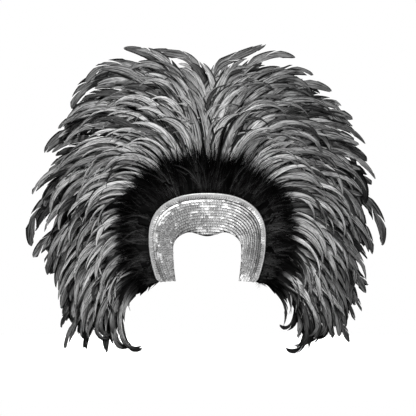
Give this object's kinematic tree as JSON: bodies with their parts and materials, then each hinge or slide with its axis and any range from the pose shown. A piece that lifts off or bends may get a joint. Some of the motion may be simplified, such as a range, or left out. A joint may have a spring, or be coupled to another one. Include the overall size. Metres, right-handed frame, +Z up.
{
  "type": "carnival feather headdress",
  "caption": "Carnival headdress: padded sequinned horseshoe band worn round the face, with a black down ruff and tiers of long arching cock feathers fanned behind it.",
  "frame": {"origin": "on the band's back face at the tip of the widow's peak, on the midline, where the band meets the forehead", "axes": "+Z up, the wearer faces -Y, +X to the right seen from the front"},
  "size_m": [0.8218, 0.2908, 0.7303],
  "materials": {
    "sequins": "silver mirror-coated sequins sewn on padded cloth",
    "trim": "silver mirror-coated sequins in a tight overlapping row",
    "down": "soft black down",
    "feather": "glossy grey to black cock tail feathers"
  },
  "bodies": {
    "root": {"sequin_panel": "sequins", "edge_trim": "trim", "down_ruff_left_upper": "down", "down_ruff_left_lower": "down", "down_ruff_right_upper": "down", "down_ruff_right_lower": "down", "feather_tier_1_left_upper": "feather", "feather_tier_1_left_lower": "feather", "feather_tier_1_right_upper": "feather", "feather_tier_1_right_lower": "feather", "feather_tier_2_left_upper": "feather", "feather_tier_2_left_lower": "feather", "feather_tier_2_right_upper": "feather", "feather_tier_2_right_lower": "feather", "feather_tier_3_left_upper": "feather", "feather_tier_3_left_lower": "feather", "feather_tier_3_right_upper": "feather", "feather_tier_3_right_lower": "feather", "feather_tier_4_left_upper": "feather", "feather_tier_4_left_lower": "feather", "feather_tier_4_right_upper": "feather", "feather_tier_4_right_lower": "feather", "feather_tier_5_left_upper": "feather", "feather_tier_5_left_lower": "feather", "feather_tier_5_right_upper": "feather", "feather_tier_5_right_lower": "feather", "feather_tier_6_left_upper": "feather", "feather_tier_6_left_lower": "feather", "feather_tier_6_right_upper": "feather", "feather_tier_6_right_lower": "feather"}
  },
  "joints": []
}
